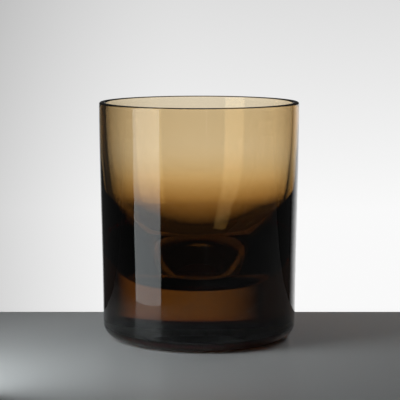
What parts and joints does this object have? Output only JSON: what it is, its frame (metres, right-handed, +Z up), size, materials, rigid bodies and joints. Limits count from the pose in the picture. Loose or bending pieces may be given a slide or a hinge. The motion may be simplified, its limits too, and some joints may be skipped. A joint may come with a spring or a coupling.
{
  "type": "whiskey tumbler",
  "caption": "Straight-sided whiskey tumbler in cased glass: amber overlay fused over a smoke-grey core, with a rounded bowl, a heavy solid base and a flat, fire-rounded lip.",
  "frame": {"origin": "centre of the ground ring that the glass stands on, in the plane of the table", "axes": "+Z up along the axis of the glass, from the base to the lip"},
  "size_m": [0.0846, 0.0846, 0.1],
  "materials": {
    "smoke_crystal": "fire-polished smoke-grey glass",
    "amber_cased_glass": "polished smoky amber glass, deeper towards the base"
  },
  "bodies": {
    "root": {"smoke_core": "smoke_crystal", "amber_overlay": "amber_cased_glass"}
  },
  "joints": []
}
